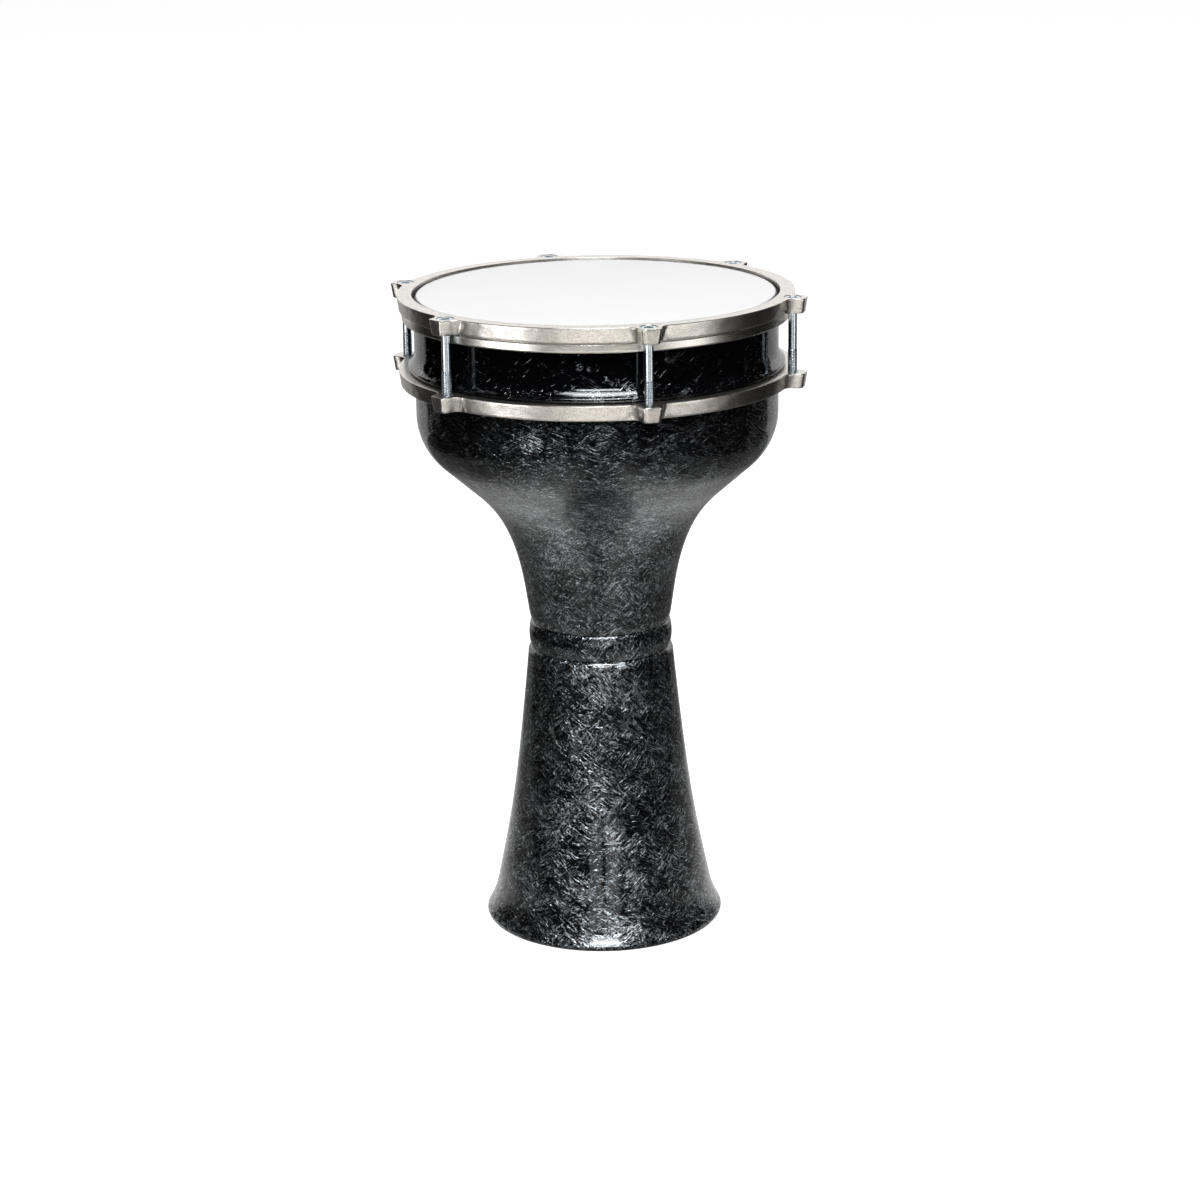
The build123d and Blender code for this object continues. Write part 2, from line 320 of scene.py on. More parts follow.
def foil_silver(t, p, height, dense, zone, fine):
    """How much silver shows: a thin film where the foil lies, and bright crests along its creases."""
    cut_at = t.ramp(dense, 0.0, 1.0, 0.76, 0.40, smooth=False)
    film = t.ramp(height, t.math("SUBTRACT", cut_at, 0.05), t.math("ADD", cut_at, 0.08))
    film = t.math("MULTIPLY", film, t.ramp(zone[0], 0.3, 0.7, 0.05, 0.15))
    glint = t.noise(t.vec("ADD", p, (41.0, 8.0, 3.0)), 1 / 2.6, 2.0, 0.65)
    crest = t.ramp(height, t.math("ADD", cut_at, 0.04), t.math("ADD", cut_at, 0.20), smooth=False)
    crest = t.math("MULTIPLY", t.math("POWER", crest, 1.2), t.ramp(glint, 0.38, 0.60, 0.30, 1.0))
    silver = t.math("ADD", film, t.math("MULTIPLY", crest, 0.80))
    return t.math("MULTIPLY", silver, t.ramp(fine, 0.36, 0.60, 0.35, 1.3))


def loose_marks(t, p, wander, zone):
    """Marks that lie on their own, each with its strength: scratches, dots and splashes of fine curls."""
    scratch = drawn(t, p, t.vec("SCALE", wander, 2.0), -0.011, 12.0, 0.8, 1.0)
    scratch = t.math("ADD", scratch, t.math("MULTIPLY", t.math("SUBTRACT", zone[2], 0.5), 0.3))
    dots = t.noise(t.vec("ADD", p, (5.0, 71.0, 2.0)), 1 / 1.8, 1.0, 0.4)
    splash = t.noise(t.vec("ADD", p, (61.0, 0.0, 14.0)), 1 / 11.0, 1.0, 0.5)
    curl = t.math("ABSOLUTE", t.math("SUBTRACT", t.noise(p, 1 / 2.4, 2.0, 0.55, 0.8), 0.5))
    curls = t.math("MULTIPLY", t.ramp(curl, 0.05, 0.01), t.ramp(splash, 0.63, 0.67))
    return [(t.ramp(scratch, 0.73, 0.79), 0.9), (t.ramp(dots, 0.76, 0.80), 0.45), (curls, 0.22)]


def lacquer(name, share):
    """Black under clear gloss, with crumpled silver foil in it. share: how densely it lies, by height."""
    t = Tree(name)
    p = t.place_mm()
    patch = t.noise(p, 1 / 24.0, 3.0, 0.6, 0.4)
    wander = t.vec("SUBTRACT", t.noise(p, 1 / 8.0, 1.0, 0.5, color=True), (0.5, 0.5, 0.5))
    zone = t.xyz(t.noise(t.vec("ADD", p, (17.0, 5.0, 31.0)), 1 / 12.0, 1.0, 0.5, color=True))
    fine = t.noise(t.vec("ADD", p, (3.0, 9.0, 27.0)), 1 / 1.2, 2.0, 0.6)
    height = foil_height(t, p, wander, zone, fine)
    silver = foil_silver(t, p, height, foil_density(t, p, patch, share), zone, fine)
    for mark, strength in loose_marks(t, p, wander, zone):
        silver = t.math("MAXIMUM", silver, t.math("MULTIPLY", mark, strength), clamp=True)
    tint = t.mix(zone[2], (0.80, 0.87, 0.94, 1), (0.91, 0.93, 0.93, 1))
    t.set(Base_Color=t.mix(silver, (0.0008, 0.0008, 0.001, 1), tint))
    t.set(Metallic=t.ramp(silver, 0.0, 0.02))
    t.set(Roughness=t.ramp(fine, 0.3, 0.7, 0.28, 0.40))
    t.set(Normal=t.bump(t.math("ADD", height, t.math("MULTIPLY", silver, 0.12)), 1.0, 0.0005))
    gloss = t.math("ADD", t.math("MULTIPLY", height, 0.6), t.math("MULTIPLY", patch, 0.8))
    t.set(Coat_Normal=t.bump(gloss, 0.09, 0.0006))
    t.set(Coat_Weight=1.0, Coat_Roughness=0.05, Coat_IOR=1.5, Specular_IOR_Level=0.0)
    return t.mat


# ---------------------------------------------------------------- metals, film, resin
def cast_metal(name):
    """Satin cast aluminium: speckled grain, short brushed lines along the ring, soft tumbled dents."""
    t = Tree(name)
    p = t.place_mm()
    grain = t.noise(p, 1.3, 4.0, 0.75)
    brush = t.noise(t.vec("MULTIPLY", p, (0.28, 0.28, 1.9)), 1.0, 4.0, 0.65)
    dents = t.noise(p, 1 / 7.0, 1.0, 0.5)
    specks = t.math("MULTIPLY", t.ramp(grain, 0.38, 0.68), 0.8)
    lines = t.math("MULTIPLY", t.ramp(brush, 0.4, 0.66), 0.35)
    f = t.math("SUBTRACT", t.math("ADD", specks, lines), 0.1, clamp=True)
    t.set(Base_Color=t.mix(f, (0.84, 0.805, 0.755, 1), (0.42, 0.4025, 0.3775, 1)), Metallic=1.0)
    t.set(Roughness=t.math("ADD", 0.22, t.math("MULTIPLY", grain, 0.18)))
    h = t.math("ADD", t.math("MULTIPLY", dents, 0.5), t.math("MULTIPLY", grain, 0.22))
    h = t.math("ADD", h, t.math("MULTIPLY", brush, 0.2))
    t.set(Normal=t.bump(h, 0.42, 0.0004))
    return t.mat


def rolled_metal(name):
    """Aluminium strip rolled to a channel: faint lines along its length."""
    t = Tree(name)
    p = t.place_mm()
    lines = t.noise(t.vec("MULTIPLY", p, (0.05, 0.05, 2.2)), 1.5, 3.0, 0.6)
    cloud = t.noise(p, 1 / 14.0, 2.0, 0.5)
    t.set(Base_Color=t.mix(t.ramp(cloud, 0.35, 0.7), (0.78, 0.76, 0.71, 1), (0.66, 0.64, 0.60, 1)))
    t.set(Metallic=1.0)
    t.set(Roughness=t.math("ADD", 0.20, t.math("MULTIPLY", lines, 0.16)))
    t.set(Normal=t.bump(lines, 0.25, 0.0002))
    return t.mat


def zinc(name):
    """Bright bluish zinc on turned steel."""
    t = Tree(name)
    p = t.place_mm()
    turned = t.noise(t.vec("MULTIPLY", p, (0.25, 0.25, 3.0)), 1.6, 2.0, 0.6)
    cloud = t.noise(p, 1 / 3.0, 3.0, 0.6)
    t.set(Base_Color=t.mix(t.ramp(cloud, 0.3, 0.7), (0.66, 0.72, 0.77, 1), (0.52, 0.58, 0.64, 1)))
    t.set(Metallic=1.0)
    t.set(Roughness=t.math("ADD", 0.17, t.math("MULTIPLY", turned, 0.2)))
    t.set(Normal=t.bump(turned, 0.06, 0.0001))
    return t.mat


PAINTED_SHADE_R = 112.0  # the film's white ends here; past it the colour is painted near black, as painted shade for the narrow gap by the hoop


def skin(name):
    """Polyester film, a little dusty, coated white on top; where it turns down over the shell its colour is
    painted near black, as painted shade for the deep gap by the hoop.
    """
    t = Tree(name)
    p = t.place_mm()
    weave = t.noise(p, 2.2, 2.0, 0.6)
    cloud = t.noise(p, 1 / 45.0, 2.0, 0.5)
    specks = t.ramp(t.noise(t.vec("ADD", p, (9.0, 4.0, 0.0)), 0.55, 1.0, 0.5), 0.78, 0.83)
    scuff = scuffs(t, p)
    c = t.mix(t.ramp(cloud, 0.35, 0.7), (0.955, 0.945, 0.935, 1), (0.935, 0.925, 0.92, 1))
    c = t.mix(t.math("MULTIPLY", specks, 0.22), c, (0.45, 0.45, 0.46, 1))
    c = t.mix(t.math("MULTIPLY", scuff, 0.10), c, (0.5, 0.5, 0.52, 1))
    # painted shade: past the white's edge the film is coloured near black to stand for the shadow in the gap
    # down to the hoop
    across = t.vec("LENGTH", t.vec("MULTIPLY", p, (1.0, 1.0, 0.0)))
    c = t.mix(t.ramp(across, PAINTED_SHADE_R, PAINTED_SHADE_R + 0.7), c, (0.012, 0.012, 0.012, 1))
    t.set(Base_Color=c, Roughness=t.ramp(weave, 0.2, 0.8, 0.34, 0.5), Specular_IOR_Level=0.4)
    t.set(Normal=t.bump(weave, 0.12, 0.0001))
    return t.mat


def scuffs(t, p):
    """Thin scuffs on a level face, where hands and rings have rubbed: each patch has its own direction."""
    v = t.node("ShaderNodeTexVoronoi", voronoi_dimensions="2D", feature="F1")
    t.put(v.inputs["Vector"], p)
    v.inputs["Scale"].default_value = 1 / 40.0
    a = t.math("MULTIPLY", t.xyz(v.outputs["Color"])[0], math.pi)
    c, s = t.math("COSINE", a), t.math("SINE", a)
    x, y, _ = t.xyz(p)
    along = t.math("ADD", t.math("MULTIPLY", x, c), t.math("MULTIPLY", y, s))
    across = t.math("SUBTRACT", t.math("MULTIPLY", y, c), t.math("MULTIPLY", x, s))
    w = t.join(t.math("DIVIDE", along, 22.0), t.math("DIVIDE", across, 0.5), 0.0)
    w = t.vec("ADD", w, t.vec("SCALE", v.outputs["Color"], 9.0))
    return t.ramp(t.noise(w, 1.0, 1.0, 0.5), 0.72, 0.80)


def dull(name, colour, other, rough):
    """A dull, slightly cloudy and grainy coat."""
    t = Tree(name)
    p = t.place_mm()
    cloud = t.noise(p, 1 / 6.0, 4.0, 0.6, 0.5)
    grain = t.noise(p, 1.8, 3.0, 0.6)
    t.set(Base_Color=t.mix(t.ramp(cloud, 0.3, 0.7), tuple(colour) + (1,), tuple(other) + (1,)))
    t.set(Roughness=t.math("ADD", rough - 0.1, t.math("MULTIPLY", grain, 0.2)))
    t.set(Normal=t.bump(grain, 0.3, 0.0002))
    return t.mat


# How much silver the lacquer shows, by share of LACQUER_SPAN: much of it up to the shoulder, and little on
# the straight wall between the rings.
SILVER_SHARE = [
    (0.0, 0.66), (0.08, 0.66), (0.25, 0.72), (0.40, 0.74), (0.46, 0.70), (0.50, 0.74), (0.60, 0.77),
    (0.68, 0.74), (0.74, 0.66), (0.80, 0.60), (0.84, 0.50), (0.87, 0.26), (0.90, 0.14), (1.0, 0.09),
]
lacquer_mat = lacquer("black_lacquer_silver_strokes", SILVER_SHARE)
inside_mat = dull("inside_black_overspray", (0.012, 0.012, 0.013), (0.03, 0.03, 0.031), 0.55)
cast_mat = cast_metal("cast_aluminium_satin")
rolled_mat = rolled_metal("rolled_aluminium")
zinc_mat = zinc("zinc_plated_steel")
skin_mat = skin("white_coated_film")
resin_mat = dull("resin", (0.62, 0.55, 0.38), (0.55, 0.47, 0.30), 0.4)


def finish_piece(ob, body, node, slot, *mats):
    """Gives a piece its materials and the body it rides on, and hides the CAD node that it stands for. slot
    is not used.
    """
    for m in mats:
        ob.data.materials.append(m)
    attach(ob, body)
    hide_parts(node)
    return ob


# ---------------------------------------------------------------- shells
WALL = 3.0
SHELL_R, CREST_R, CREST_Z, BEAD_R = 114.4, 111.9, 413.9, 118.6
RING_TOP, JOINT_Z, SPIGOT_R, BORE_R = 368.4, 193.0, 43.2, 40.2
COLLAR_LOW, COLLAR_HIGH, COLLAR_R = 184.6, 201.4, 46.1
SHOULDER_R, SHOULDER_Z = 41.4, 338.8
# Outsides: radius, height, and the change of radius per mm of height there
BOWL = [
    (45.9, 208.0, 0.15), (49.3, 230.0, 0.19), (57.2, 258.0, 0.41),
    (65.75, 274.0, 0.70), (80.3, 290.0, 1.12),
]
FOOT = [
    (46.9, 179.5, -0.10), (53.3, 120.0, -0.13), (62.2, 60.0, -0.19),
    (68.75, 28.0, -0.24), (73.1, 12.0, -0.41),
]


def inner(r, z, slope):
    """The point one wall inside an outside point."""
    a = math.atan(slope)
    return (r - WALL * math.cos(a), z + WALL * math.sin(a))


def shoulder(wall):
    """The round from the flank up to the straight wall, wall mm inside the outside."""
    turn = math.atan(BOWL[-1][2])
    r = SHOULDER_R - wall
    return [
        (SHELL_R - SHOULDER_R + r * math.cos(turn * s), SHOULDER_Z - r * math.sin(turn * s))
        for s in np.linspace(1.0, 0.0, 25)
    ]


bowl_out = path(
    [(SPIGOT_R, COLLAR_HIGH + 0.1), (44.35, COLLAR_HIGH + 0.5)],
    arc3((44.35, COLLAR_HIGH + 0.5), (45.1, 204.2), BOWL[0][:2], 8),
    spline([q[:2] for q in BOWL], (BOWL[0][2], 1.0), (BOWL[-1][2], 1.0)),
    shoulder(0.0),
    rows((SHELL_R, SHOULDER_Z), (SHELL_R, RING_TOP)),
    [(SHELL_R, RING_TOP), (117.0, RING_TOP)],
    arc3((117.0, RING_TOP), (118.2, 369.2), (BEAD_R, 370.8), 8),
    [(BEAD_R, 370.8), (118.55, 371.25), (118.3, 371.6)],
    arc3((118.3, 371.6), (115.5, 375.0), (SHELL_R, 379.4), 12),
    rows((SHELL_R, 379.4), (SHELL_R, 406.5)),
    arc3((SHELL_R, 406.5), (113.75, 411.3), (CREST_R, CREST_Z), 10),
    arc3((CREST_R, CREST_Z), (111.55, 413.72), (111.4, 413.3), 4),
)
bowl_in = path(
    rows((111.4, 413.3), shoulder(WALL)[-1], 6.0),
    shoulder(WALL)[::-1],
    spline(
        [inner(*BOWL[-1])] + [inner(*q) for q in BOWL[3:0:-1]] + [(BORE_R + 1.6, 207.0)],
        (-BOWL[-1][2], -1.0), (-0.14, -1.0), 4.0,
    ),
    [(BORE_R + 1.6, 207.0), (BORE_R, JOINT_Z)],
)
profile = path(bowl_out, bowl_in, [(BORE_R, JOINT_Z), (SPIGOT_R, JOINT_Z), (SPIGOT_R, COLLAR_HIGH + 0.1)])
first_in = len(bowl_out) - 1
bowl = lathe(
    "bowl_lacquered", profile[:-1], 384, closed=True,
    slots=[0 if i < first_in else 1 for i in range(len(profile) - 1)], sharp=38.0,
)
finish_piece(bowl, "drum_body", "bowl_shell", "shell_lacquer", lacquer_mat, inside_mat)

foot_out = path(
    [(SPIGOT_R, COLLAR_LOW - 0.1), (44.9, COLLAR_LOW - 0.5)],
    arc3((44.9, COLLAR_LOW - 0.5), (46.25, 182.4), FOOT[0][:2], 8),
    spline([q[:2] for q in FOOT], (-FOOT[0][2], -1.0), (-FOOT[-1][2], -1.0)),
    arc3(FOOT[-1][:2], (74.9, 8.0), (76.9, 4.2), 8),
    arc3((76.9, 4.2), (77.2, 1.6), (74.9, 0.0), 12),
)
foot_in = path(
    [(74.9, 0.0), (71.2, 0.0)],
    arc3((71.2, 0.0), (70.2, 0.5), (69.9, 1.6), 6),
    rows((69.9, 1.6), (69.9, 12.0), 4.0),
    spline(
        [(69.9, 12.0), inner(*FOOT[2]), inner(*FOOT[1]), (BORE_R + 2.6, 181.0)],
        (-0.36, 1.0), (-0.15, 1.0), 4.0,
    ),
    [(BORE_R + 2.6, 181.0), (BORE_R, 186.0), (BORE_R, JOINT_Z)],
)
profile = path(foot_out, foot_in, [(BORE_R, JOINT_Z), (SPIGOT_R, JOINT_Z), (SPIGOT_R, COLLAR_LOW - 0.1)])
first_in = len(foot_out) - 1
foot = lathe(
    "foot_lacquered", profile[:-1], 320, closed=True,
    slots=[0 if i < first_in + 3 else 1 for i in range(len(profile) - 1)], sharp=38.0,
)
finish_piece(foot, "drum_body", "foot_shell", "shell_lacquer", lacquer_mat, inside_mat)

collar_out = path(
    [(SPIGOT_R, COLLAR_LOW), (44.8, COLLAR_LOW)],
    arc3((44.8, COLLAR_LOW), (45.15, COLLAR_LOW + 0.45), (45.35, COLLAR_LOW + 1.2), 6),
    arc3((45.35, COLLAR_LOW + 1.2), (COLLAR_R, 192.0), (45.35, COLLAR_HIGH - 2.4), 16),
    arc3((45.35, COLLAR_HIGH - 2.4), (44.95, COLLAR_HIGH - 0.95), (44.0, COLLAR_HIGH), 10),
    [(44.0, COLLAR_HIGH), (SPIGOT_R, COLLAR_HIGH)],
)
collar = lathe("waist_collar_lacquered", collar_out, 256, closed=True, sharp=38.0)
finish_piece(collar, "drum_body", "waist_collar", "shell_lacquer", lacquer_mat)

# ---------------------------------------------------------------- cast rings
RING_R, RING_H, DRAFT_IN = 124.7, 9.5, 1.34
TOP_EDGE, LOW_EDGE = 0.75, 0.6
LUG_TIP_R, LUG_TIP_HALF, LUG_ROOT_HALF, LUG_NOSE_R = 134.5, 6.9, 12.0, 3.0
ROOT_DRAFT, SIDE_DRAFT = 1.9, 0.75  # how much a lug narrows at its root and behind its nose, per mm of it


def lug_half(draft, edge):
    """Polar outline of half a lug, from its root on the ring to the middle of its nose: angles, radii."""
    ring_r, tip_r = RING_R - draft - edge, LUG_TIP_R - draft - edge
    flare = LUG_ROOT_HALF - ROOT_DRAFT * draft - edge / 2
    half = LUG_TIP_HALF - SIDE_DRAFT * draft - edge / 2
    root = math.sqrt(ring_r**2 - flare**2)
    e = LUG_NOSE_R * (1 - math.sqrt(0.5))
    pts = path(
        arc3((root, flare), (root + 2.3, flare - 3.2), (tip_r - 4.4, half), 16),
        rows((tip_r - 4.4, half), (tip_r - LUG_NOSE_R, half - 0.3), 0.5),
        arc3(
            (tip_r - LUG_NOSE_R, half - 0.3), (tip_r - e, half - 0.3 - e),
            (tip_r, half - 0.3 - LUG_NOSE_R), 10,
        ),
        rows((tip_r, half - 0.3 - LUG_NOSE_R), (tip_r, 0.0), 0.4),
    )
    ang = np.array([math.atan2(y, x) for x, y in pts])
    rad = np.array([math.hypot(x, y) for x, y in pts])
    return ang[::-1], rad[::-1]


def lug_angles():
    """Angles round a ring, close together at the lugs."""
    pitch = 2 * math.pi / LUGS
    near = math.radians(6.4)
    local = np.concatenate([np.linspace(-near, near, 105), np.linspace(near, pitch - near, 48)[1:-1]])
    return np.concatenate([LUG_START + k * pitch + local for k in range(LUGS)])


def outside_section():
    """A ring's outside, top to bottom: rounding of the edge, height below the top, share of unevenness."""
    section = []
    for k in range(5):
        a = math.pi / 2 * k / 4
        section.append((TOP_EDGE * (1 - math.sin(a)), TOP_EDGE * (1 - math.cos(a)), 0.4 + 0.15 * k))
    for k in range(1, 8):
        section.append((0.0, TOP_EDGE + (RING_H - TOP_EDGE - LOW_EDGE) * k / 8, 1.0))
    for k in range(4):
        a = math.pi / 2 * k / 3
        section.append((LOW_EDGE * (1 - math.cos(a)), RING_H - LOW_EDGE * (1 - math.sin(a)), 0.8 - 0.2 * k))
    return section


def hollow(angle, from_lug, h, seed):
    """How far a tumbled casting's face lies inside its true face, in mm; most where a lug leaves the ring."""
    p = Vector((math.cos(angle) * 125.0, math.sin(angle) * 125.0, h * 0.8 + seed * 50.0))
    bump = 0.16 * noise.noise(p * 0.16) + 0.07 * noise.noise(p * 0.5)
    near = math.exp(-((math.degrees(from_lug) - 5.6) / 1.8) ** 2)
    bump += 0.45 * near * noise.noise(p * 0.30 + Vector((7.0, 0.0, 0.0)))
    return min(bump - 0.12, 0.0)


def casting(name, top, bore, seed):
    """One cast ring: lugs, soft edges, draft, and the unevenness of a tumbled casting on its outside."""
    angles = lug_angles()
    pitch = 2 * math.pi / LUGS
    from_lug = np.abs((angles - LUG_START + pitch / 2) % pitch - pitch / 2)
    inside = [
        (0.5, RING_H), (0.15, RING_H - 0.15), (0.0, RING_H - 0.5),
        (0.0, 0.45), (0.13, 0.13), (0.45, 0.0),
    ]
    levels = []  # (radius at each angle, height below the top)
    for edge, h, uneven in outside_section():
        draft = DRAFT_IN * h / RING_H
        ang, rad = lug_half(draft, edge)
        radii = np.interp(from_lug, ang, rad, right=RING_R - draft - edge)
        levels.append(([r + uneven * hollow(a, d, h, seed) for r, a, d in zip(radii, angles, from_lug)], h))
    for out, h in inside:
        levels.append(([bore + out] * len(angles), h))
    verts = [
        (r * math.cos(a) * MM, r * math.sin(a) * MM, (top - h) * MM)
        for radii, h in levels
        for r, a in zip(radii, angles)
    ]
    n = len(angles)
    faces = []
    for i in range(len(levels)):
        j = (i + 1) % len(levels)
        for k in range(n):
            k2 = (k + 1) % n
            faces.append((i * n + k, i * n + k2, j * n + k2, j * n + k))
    return new_object(name, outward_mesh(name, verts, faces), 50.0)


def cut(ob, cutters):
    """Cuts every cutter out of ob and applies it."""
    for c in cutters:
        m = ob.modifiers.new("cut", "BOOLEAN")
        m.operation, m.solver, m.object = "DIFFERENCE", "EXACT", c
    dg = bpy.context.evaluated_depsgraph_get()
    dg.update()
    mesh = bpy.data.meshes.new_from_object(ob.evaluated_get(dg))
    ob.modifiers.clear()
    old = ob.data
    ob.data = mesh
    mesh.name = ob.name
    bpy.data.meshes.remove(old)
    for p in mesh.polygons:
        p.use_smooth = True
    mesh.set_sharp_from_angle(angle=math.radians(40.0))
    for c in cutters:
        data = c.data
        bpy.data.objects.remove(c)
        bpy.data.meshes.remove(data)
    return ob


def screw_spots(z):
    """The angle and the place, in metres, of each screw's axis at height z mm."""
    for k in range(LUGS):
        a = LUG_START + 2 * math.pi * k / LUGS
        yield a, (SCREW_PCD_R * MM * math.cos(a), SCREW_PCD_R * MM * math.sin(a), z * MM)


def plugs(section):
    """One round cutter at each lug, from points (r, z) in mm, bottom to top."""
    profile = [(0.0, section[0][1])] + section + [(0.0, section[-1][1])]
    out = []
    for _, spot in screw_spots(0.0):
        c = lathe("cutter", profile, 48)
        c.data.transform(Matrix.Translation(spot))
        out.append(c)
    return out


HOOP_TOP, HOOP_BORE_R, RING_BORE_R = 415.3, 115.2, 114.8
CLEAR_R, COUNTERBORE_R, TAPPED_R = 3.3, 5.4, 3.05
PAST = 1.0  # how far a cutter reaches past the metal

hoop = casting("tuning_hoop_cast", HOOP_TOP, HOOP_BORE_R, 1)
hoop_low = HOOP_TOP - RING_H
cut(hoop, plugs([
    (CLEAR_R + 0.3, hoop_low - PAST), (CLEAR_R + 0.3, hoop_low), (CLEAR_R, hoop_low + 0.35),
    (CLEAR_R, HEAD_SEAT), (COUNTERBORE_R, HEAD_SEAT), (COUNTERBORE_R, HOOP_TOP - 0.35),
    (COUNTERBORE_R + 0.35, HOOP_TOP), (COUNTERBORE_R + 0.35, HOOP_TOP + PAST),
]))
finish_piece(hoop, "tuning_hoop", "counter_hoop", "cast_ring", cast_mat)

ring = casting("lower_ring_cast", RING_TOP, RING_BORE_R, 2)
ring_low = RING_TOP - RING_H
cut(ring, plugs([
    (TAPPED_R + 0.55, ring_low - PAST), (TAPPED_R + 0.55, ring_low), (TAPPED_R, ring_low + 0.5),
    (TAPPED_R, RING_TOP - 0.5), (TAPPED_R + 0.45, RING_TOP), (TAPPED_R + 0.45, RING_TOP + PAST),
]))
finish_piece(ring, "drum_body", "lower_ring", "cast_ring", cast_mat)

# ---------------------------------------------------------------- head hoop and film
FLESH_OUT, FLESH_IN, FLESH_LOW, FLESH_T = 121.7, 115.6, 399.4, 1.2
FLESH_TOP, LIP_TOP = 405.8, 404.6  # tops of the channel's outer and inner walls
GROOVE = 0.95  # depth of the dark line left under the tuning hoop by the channel's rolled top edge
INNER_R = 1.0
channel = path(
    [
        (FLESH_OUT - GROOVE, FLESH_TOP), (FLESH_OUT - GROOVE, FLESH_TOP - 0.6),
        (FLESH_OUT - 0.75, FLESH_TOP - 0.72),
    ],
    arc3(
        (FLESH_OUT - 0.75, FLESH_TOP - 0.72), (FLESH_OUT - 0.2, FLESH_TOP - 0.98),
        (FLESH_OUT, FLESH_TOP - 1.6), 6,
    ),
    rows((FLESH_OUT, FLESH_TOP - 1.6), (FLESH_OUT, FLESH_LOW + FLESH_T), 1.0),
    arc3(
        (FLESH_OUT, FLESH_LOW + FLESH_T), (FLESH_OUT - 0.351, FLESH_LOW + 0.351),
        (FLESH_OUT - FLESH_T, FLESH_LOW), 7,
    ),
    arc3(
        (FLESH_IN + INNER_R, FLESH_LOW), (FLESH_IN + 0.293, FLESH_LOW + 0.293),
        (FLESH_IN, FLESH_LOW + INNER_R), 5,
    ),
    [(FLESH_IN, LIP_TOP), (FLESH_IN + FLESH_T, LIP_TOP), (FLESH_IN + FLESH_T, FLESH_LOW + FLESH_T)],
    [(FLESH_OUT - FLESH_T, FLESH_LOW + FLESH_T), (FLESH_OUT - FLESH_T, FLESH_TOP)],
)
flesh = lathe("head_hoop_channel", channel, 320, closed=True, sharp=40.0)
finish_piece(flesh, "tuning_hoop", "head_hoop", "head_hoop", rolled_mat)

GAP, FILM = 0.03, 0.25
FLAT_R = (0.0, 6, 14, 26, 40, 55, 70, 85, 97, 105, 109.5)  # rings of the playing surface
SKIRT_Z = (403.5, 402.4, 401.4)  # rows of the skirt inside the channel


def film_side(d):
    """One side of the film, d outside the bearing edge, from the middle out and down to the skirt."""
    lift = LIP_TOP + 0.05 + d - GAP
    skirt = FLESH_IN + 1.25 + d - GAP
    return path(
        [(r, CREST_Z + d) for r in FLAT_R],
        arc3((CREST_R, CREST_Z + d), (113.75 + d, 411.3 + d), (SHELL_R + d, 406.5), 14),
        arc3((SHELL_R + d, 405.6), (SHELL_R + d + 0.25, lift + 0.25), (SHELL_R + d + 0.8, lift), 5),
        [(skirt - 0.2, lift), (skirt, lift - 0.2)],
        [(skirt, z) for z in SKIRT_Z],
    )


film_profile = film_side(GAP + FILM) + film_side(GAP)[::-1]
film = lathe("head_skin", film_profile, 256, sharp=60.0)
film.data.materials.append(skin_mat)
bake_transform(film)
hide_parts("head_film")

resin = NODES["resin_insert"]
resin.data.materials.clear()
resin.data.materials.append(resin_mat)

# ---------------------------------------------------------------- tension screws
PITCH, THREAD_R, ROOT_R, SHANK_R = 1.0, 3.0, 2.45, 2.68
SCREW_L, THREAD_L, HEAD_R, HEAD_H, HEX_AF, HEX_DEPTH = 50.0, 24.0, 5.0, 6.0, 5.0, 3.0
THREAD_ROWS = 10  # rings of vertices per mm of thread
SHANK_Z = (-25.6, -18.0, -9.0, -1.2)  # rings of the plain shank, below the head
HEAD_EDGE = 0.55


def hexagon(a):
    """Distance from the centre to a hexagon's side, across-flats HEX_AF, in the direction a."""
    return HEX_AF / 2 / math.cos((a + math.pi / 6) % (math.pi / 3) - math.pi / 6)


def thread_radius(a, z, low, high):
    """Radius of a right-hand thread of flat crests and roots, fading out at both ends."""
    phase = ((z / PITCH) - a / (2 * math.pi)) % 1.0
    ridge = min(1.0, max(0.0, 1.75 - abs(phase - 0.5) * 4.6 + 0.35))
    ridge = ridge * ridge * (3 - 2 * ridge)
    fade_top = min(1.0, max(0.0, (high - z) / 1.2))
    tip = min(1.0, max(0.0, (z - low) / 0.9))
    crest = ROOT_R + (THREAD_R - ROOT_R) * min(1.0, tip + 0.05)
    r = ROOT_R + (crest - ROOT_R) * ridge
    return r * fade_top + SHANK_R * (1 - fade_top)


